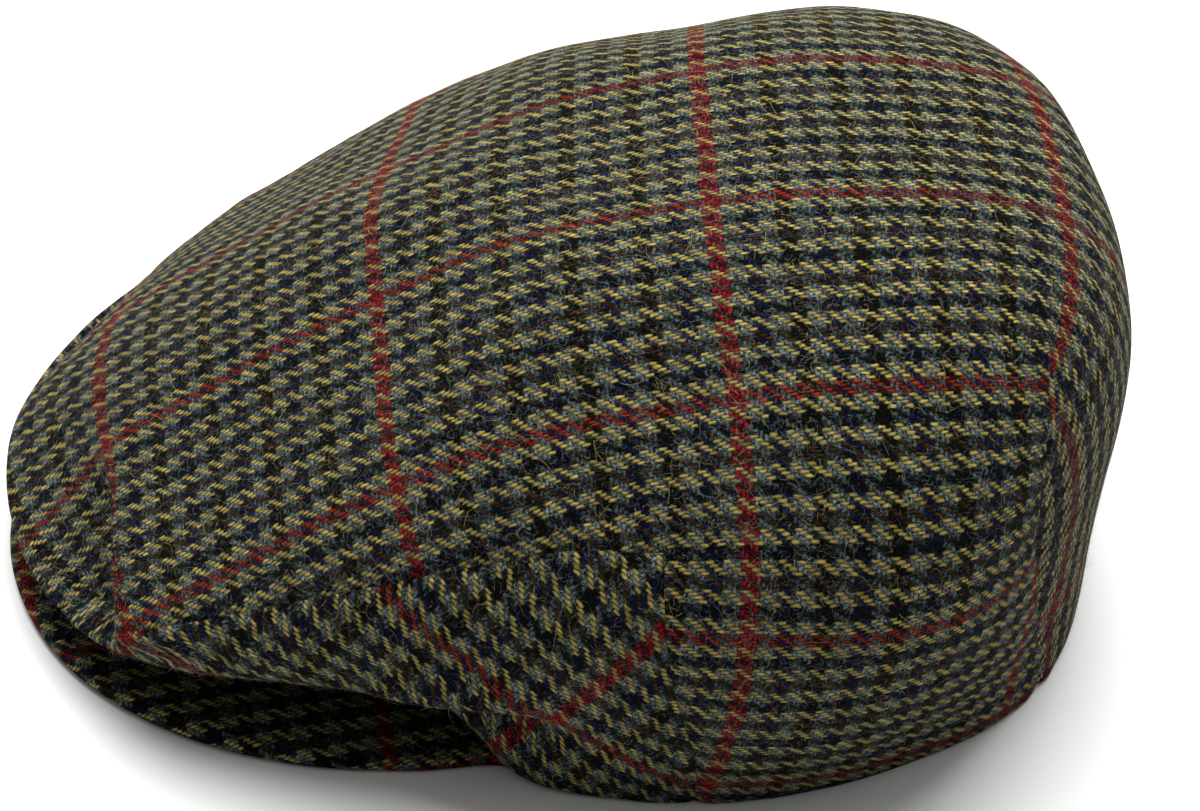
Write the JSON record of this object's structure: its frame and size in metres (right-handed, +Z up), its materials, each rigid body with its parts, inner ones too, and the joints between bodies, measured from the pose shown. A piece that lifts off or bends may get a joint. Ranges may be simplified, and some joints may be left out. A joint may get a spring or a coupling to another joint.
{
  "type": "flat cap",
  "caption": "A tweed flat cap with a domed crown that rolls forward over a short stiff peak, hollow for the head and open below.",
  "frame": {"origin": "bottom centre of the whole cap, on the surface that it rests on", "axes": "-Y is the way the peak points, +X is the wearer's left, +Z is up"},
  "size_m": [0.2004, 0.2455, 0.1028],
  "materials": {
    "crown_tweed": "fuzzy wool twill, dogtooth check with a red overcheck",
    "side_tweed": "the same tweed, cut with its threads slanting",
    "peak_tweed": "the same tweed, stretched over a stiff board"
  },
  "bodies": {
    "root": {"crown_top": "crown_tweed", "side_panel_left": "side_tweed", "side_panel_right": "side_tweed", "peak": "peak_tweed"}
  },
  "joints": []
}
